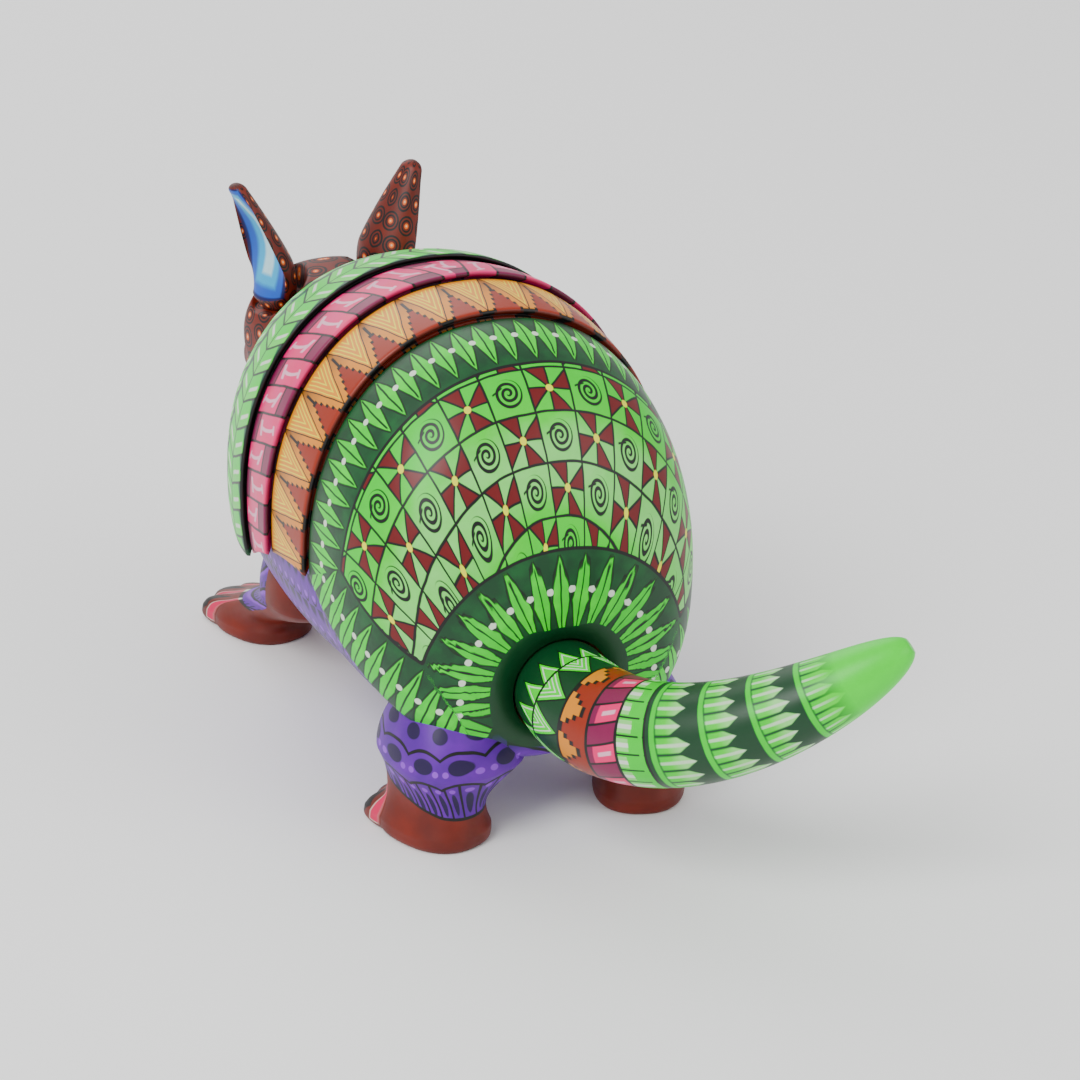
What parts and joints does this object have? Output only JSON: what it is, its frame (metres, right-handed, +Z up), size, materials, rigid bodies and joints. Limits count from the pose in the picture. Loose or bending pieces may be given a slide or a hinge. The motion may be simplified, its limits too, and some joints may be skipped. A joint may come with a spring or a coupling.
{
  "type": "carved armadillo figure",
  "caption": "Carved and painted wooden armadillo figure standing on four paws, with plug-in ears and a pegged tail that turns.",
  "frame": {"origin": "middle of the figure's footprint box at table height, with the paws' soles on z = 0", "axes": "+Z up, the figure faces -Y and its own left side is +X"},
  "size_m": [0.0756, 0.1992, 0.0853],
  "materials": {
    "painted_shell": "satin acrylic paint over sanded wood",
    "painted_head": "satin acrylic paint over sanded wood",
    "painted_ear": "satin acrylic paint over sanded wood",
    "painted_tail": "satin acrylic paint over sanded wood",
    "painted_leg": "satin acrylic paint over sanded wood",
    "bare_wood": "unpainted whittled wood"
  },
  "bodies": {
    "trunk": {"trunk": "painted_shell", "head": "painted_head", "neck_dowel": "bare_wood", "leg_front_left": "painted_leg", "leg_front_right": "painted_leg", "leg_hind_left": "painted_leg", "leg_hind_right": "painted_leg", "dowel_front_left": "bare_wood", "dowel_front_right": "bare_wood", "dowel_hind_left": "bare_wood", "dowel_hind_right": "bare_wood"},
    "tail_peg": {"tail_peg": "bare_wood"},
    "tail": {"tail": "painted_tail"},
    "ear_left": {"ear_left": "painted_ear"},
    "ear_right": {"ear_right": "painted_ear"}
  },
  "joints": [
    {"name": "tail_pull", "type": "slide", "parent": "trunk", "child": "tail_peg", "axis": [0, 1, 0], "range_m": [0, 0.02]},
    {"name": "tail_turn", "type": "hinge", "parent": "tail_peg", "child": "tail", "pos_m": [0.0028, 0.05141, 0.028], "axis": [0, 1, 0], "range_deg": [-45, 60]},
    {"name": "ear_left_pull", "type": "slide", "parent": "trunk", "child": "ear_left", "axis": [0.3134, 0, 0.9496], "range_m": [0, 0.01]},
    {"name": "ear_right_pull", "type": "slide", "parent": "trunk", "child": "ear_right", "axis": [-0.3134, 0, 0.9496], "range_m": [0, 0.01]}
  ]
}
